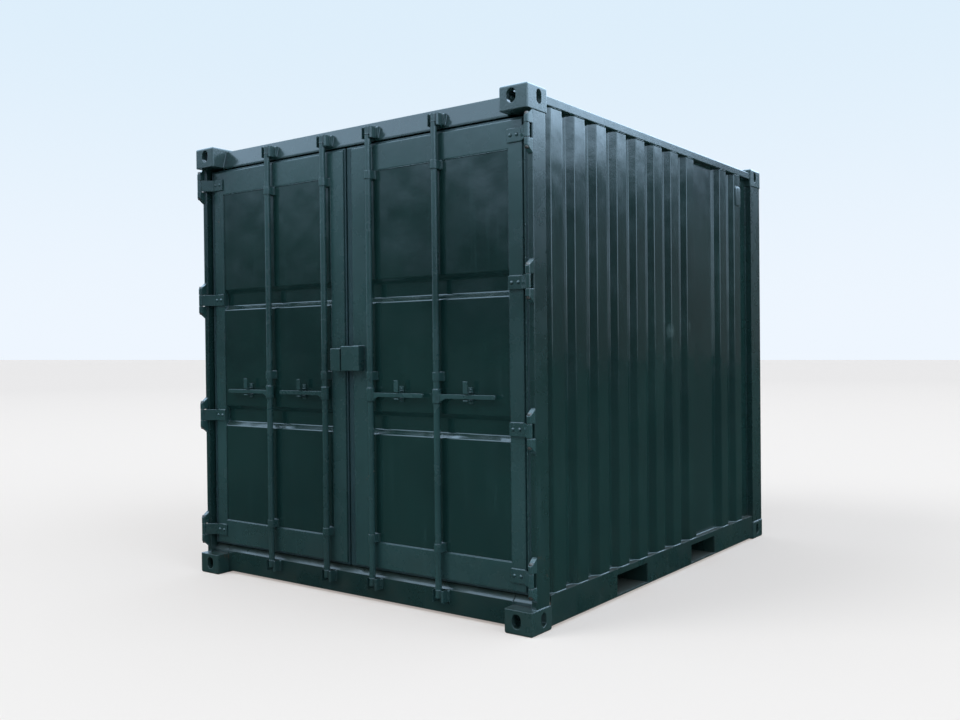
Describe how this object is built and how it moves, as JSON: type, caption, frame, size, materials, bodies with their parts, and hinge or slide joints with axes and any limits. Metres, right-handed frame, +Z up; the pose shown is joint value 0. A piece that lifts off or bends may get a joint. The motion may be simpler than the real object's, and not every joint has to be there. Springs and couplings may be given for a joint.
{
  "type": "shipping container",
  "caption": "Short steel shipping container with corrugated walls, paired end doors with locking bars, hollow corner castings and fork pockets.",
  "frame": {"origin": "centre of the footprint, on the plane that the bottom castings stand on", "axes": "+X to the right of a person facing the doors, +Y from the doors to the blind end, +Z up"},
  "size_m": [2.438, 2.991, 2.591],
  "materials": {
    "green_paint": "glossy repaint with dust and rust",
    "seal_rubber": "painted over rubber",
    "floor_wood": "worn plywood",
    "bare_steel": "worn steel"
  },
  "bodies": {
    "container": {"blind_end_posts": "green_paint", "blind_end_rails": "green_paint", "blind_end_wall": "green_paint", "bottom_corner_castings": "green_paint", "bottom_side_rails": "green_paint", "cross_members": "green_paint", "door_end_posts": "green_paint", "door_header": "green_paint", "door_sill": "green_paint", "floor_boards": "floor_wood", "fork_pockets": "green_paint", "header_cam_keepers": "green_paint", "hinge_lugs": "green_paint", "hinge_pins": "bare_steel", "left_side_wall": "green_paint", "right_side_wall": "green_paint", "roof_panel": "green_paint", "sill_cam_keepers": "green_paint", "top_corner_castings": "green_paint", "top_side_rails": "green_paint"},
    "right_door": {"right_bar_brackets": "green_paint", "right_door_frame": "green_paint", "right_door_gasket": "seal_rubber", "right_door_panel": "green_paint", "right_handle_catches": "green_paint", "right_hinge_blades": "green_paint", "right_lock_box": "green_paint"},
    "left_door": {"left_bar_brackets": "green_paint", "left_door_frame": "green_paint", "left_door_gasket": "seal_rubber", "left_door_panel": "green_paint", "left_handle_catches": "green_paint", "left_hinge_blades": "green_paint", "left_lock_box": "green_paint"},
    "left_outer_bar": {"left_outer_locking_bar": "green_paint", "left_outer_handle": "green_paint"},
    "left_inner_bar": {"left_inner_locking_bar": "green_paint", "left_inner_handle": "green_paint"},
    "right_inner_bar": {"right_inner_locking_bar": "green_paint", "right_inner_handle": "green_paint"},
    "right_outer_bar": {"right_outer_locking_bar": "green_paint", "right_outer_handle": "green_paint"}
  },
  "joints": [
    {"name": "right_door_hinge", "type": "hinge", "parent": "container", "child": "right_door", "pos_m": [1.205, -1.4785, 0.263], "axis": [0, 0, 1], "range_deg": [0, 270]},
    {"name": "left_door_hinge", "type": "hinge", "parent": "container", "child": "left_door", "pos_m": [-1.205, -1.4785, 0.263], "axis": [0, 0, -1], "range_deg": [0, 270]},
    {"name": "left_outer_bar_turn", "type": "hinge", "parent": "left_door", "child": "left_outer_bar", "pos_m": [-0.624, -1.4485, 1.116], "axis": [0, 0, -1], "range_deg": [-105, 0]},
    {"name": "left_inner_bar_turn", "type": "hinge", "parent": "left_door", "child": "left_inner_bar", "pos_m": [-0.171, -1.4485, 1.116], "axis": [0, 0, -1], "range_deg": [-105, 0]},
    {"name": "right_inner_bar_turn", "type": "hinge", "parent": "right_door", "child": "right_inner_bar", "pos_m": [0.171, -1.4485, 1.116], "axis": [0, 0, 1], "range_deg": [-105, 0]},
    {"name": "right_outer_bar_turn", "type": "hinge", "parent": "right_door", "child": "right_outer_bar", "pos_m": [0.624, -1.4485, 1.116], "axis": [0, 0, 1], "range_deg": [-105, 0]}
  ]
}
